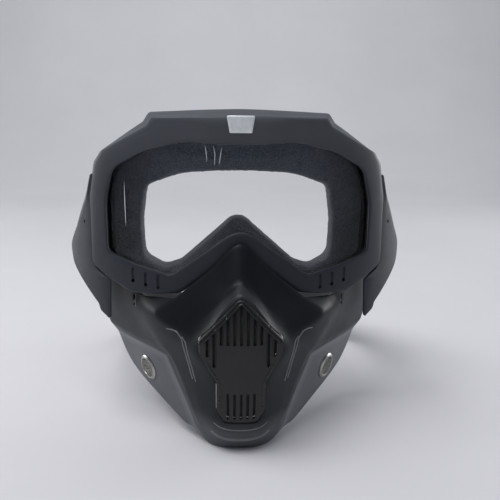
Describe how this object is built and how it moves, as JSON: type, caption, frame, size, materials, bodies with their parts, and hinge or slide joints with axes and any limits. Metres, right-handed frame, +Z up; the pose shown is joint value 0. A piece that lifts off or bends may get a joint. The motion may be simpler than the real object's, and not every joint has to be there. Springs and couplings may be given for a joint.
{
  "type": "motorcycle goggles with face mask",
  "caption": "Wraparound riding goggles with a clear lens and foam seal, an elastic strap on swivel clips and a detachable moulded face mask with a slotted grille.",
  "frame": {"origin": "midway between the eyes, on the surface where the lining meets the face", "axes": "+Z up, -Y forwards, so +X is the wearer's left"},
  "size_m": [0.2116, 0.2267, 0.1829],
  "materials": {
    "mask_plastic": "soft black moulding",
    "frame_plastic": "soft black moulding",
    "tunnel_rubber": "flexible black moulding",
    "grille_plastic": "fine grained black",
    "buckle_plastic": "black acetal",
    "lens_clear": "clear polycarbonate",
    "gasket_rubber": "soft black seal",
    "badge_silver": "satin silver plate",
    "face_foam": "open cell foam",
    "lining_fleece": "brushed fleece",
    "vent_foam": "coarse filter foam",
    "stud_metal": "turned steel",
    "strap_webbing": "woven elastic",
    "grip_silicone": "translucent silicone",
    "eyelet_metal": "pressed eyelet",
    "mesh_metal": "woven wire",
    "filter_felt": "charcoal felt"
  },
  "bodies": {
    "mask": {"mask_shell": "mask_plastic", "grille_insert": "grille_plastic", "grille_bezel": "grille_plastic", "filter_pad": "filter_felt", "cheek_ring_left": "eyelet_metal", "cheek_ring_right": "eyelet_metal", "cheek_mesh_left": "mesh_metal", "cheek_mesh_right": "mesh_metal"},
    "goggles": {"front_frame": "frame_plastic", "rear_frame": "tunnel_rubber", "lens": "lens_clear", "lens_gasket": "gasket_rubber", "brow_badge": "badge_silver", "face_foam": "face_foam", "foam_lining": "lining_fleece", "vent_foam_top": "vent_foam", "vent_foam_left": "vent_foam", "vent_foam_right": "vent_foam", "wing_left": "frame_plastic", "wing_right": "frame_plastic", "strap_stud_left": "stud_metal", "strap_stud_right": "stud_metal", "frame_hook_left": "frame_plastic", "frame_hook_right": "frame_plastic"},
    "strap": {"strap_clip_left": "buckle_plastic", "strap_clip_right": "buckle_plastic", "strap_web_left": "strap_webbing", "strap_web_right": "strap_webbing", "strap_rear": "strap_webbing", "silicone_grips": "grip_silicone"},
    "adjuster_left": {"adjuster_left": "buckle_plastic"},
    "adjuster_right": {"adjuster_right": "buckle_plastic"},
    "filter_cover": {"filter_cover": "buckle_plastic"}
  },
  "joints": [
    {"name": "mask_release", "type": "slide", "parent": "mask", "child": "goggles", "axis": [0, 0, 1], "range_m": [0, 0.06]},
    {"name": "strap_swivel", "type": "hinge", "parent": "goggles", "child": "strap", "pos_m": [0, 0.014, -0.002], "axis": [1, 0, 0], "range_deg": [-25, 80]},
    {"name": "adjuster_left_slide", "type": "slide", "parent": "strap", "child": "adjuster_left", "axis": [0, 0.7547, -0.6561], "range_m": [-0.02, 0.03]},
    {"name": "adjuster_right_slide", "type": "slide", "parent": "strap", "child": "adjuster_right", "axis": [0, 0.7547, -0.6561], "range_m": [-0.02, 0.03]},
    {"name": "filter_cover_release", "type": "slide", "parent": "mask", "child": "filter_cover", "axis": [0, 1, 0], "range_m": [0, 0.03]}
  ]
}
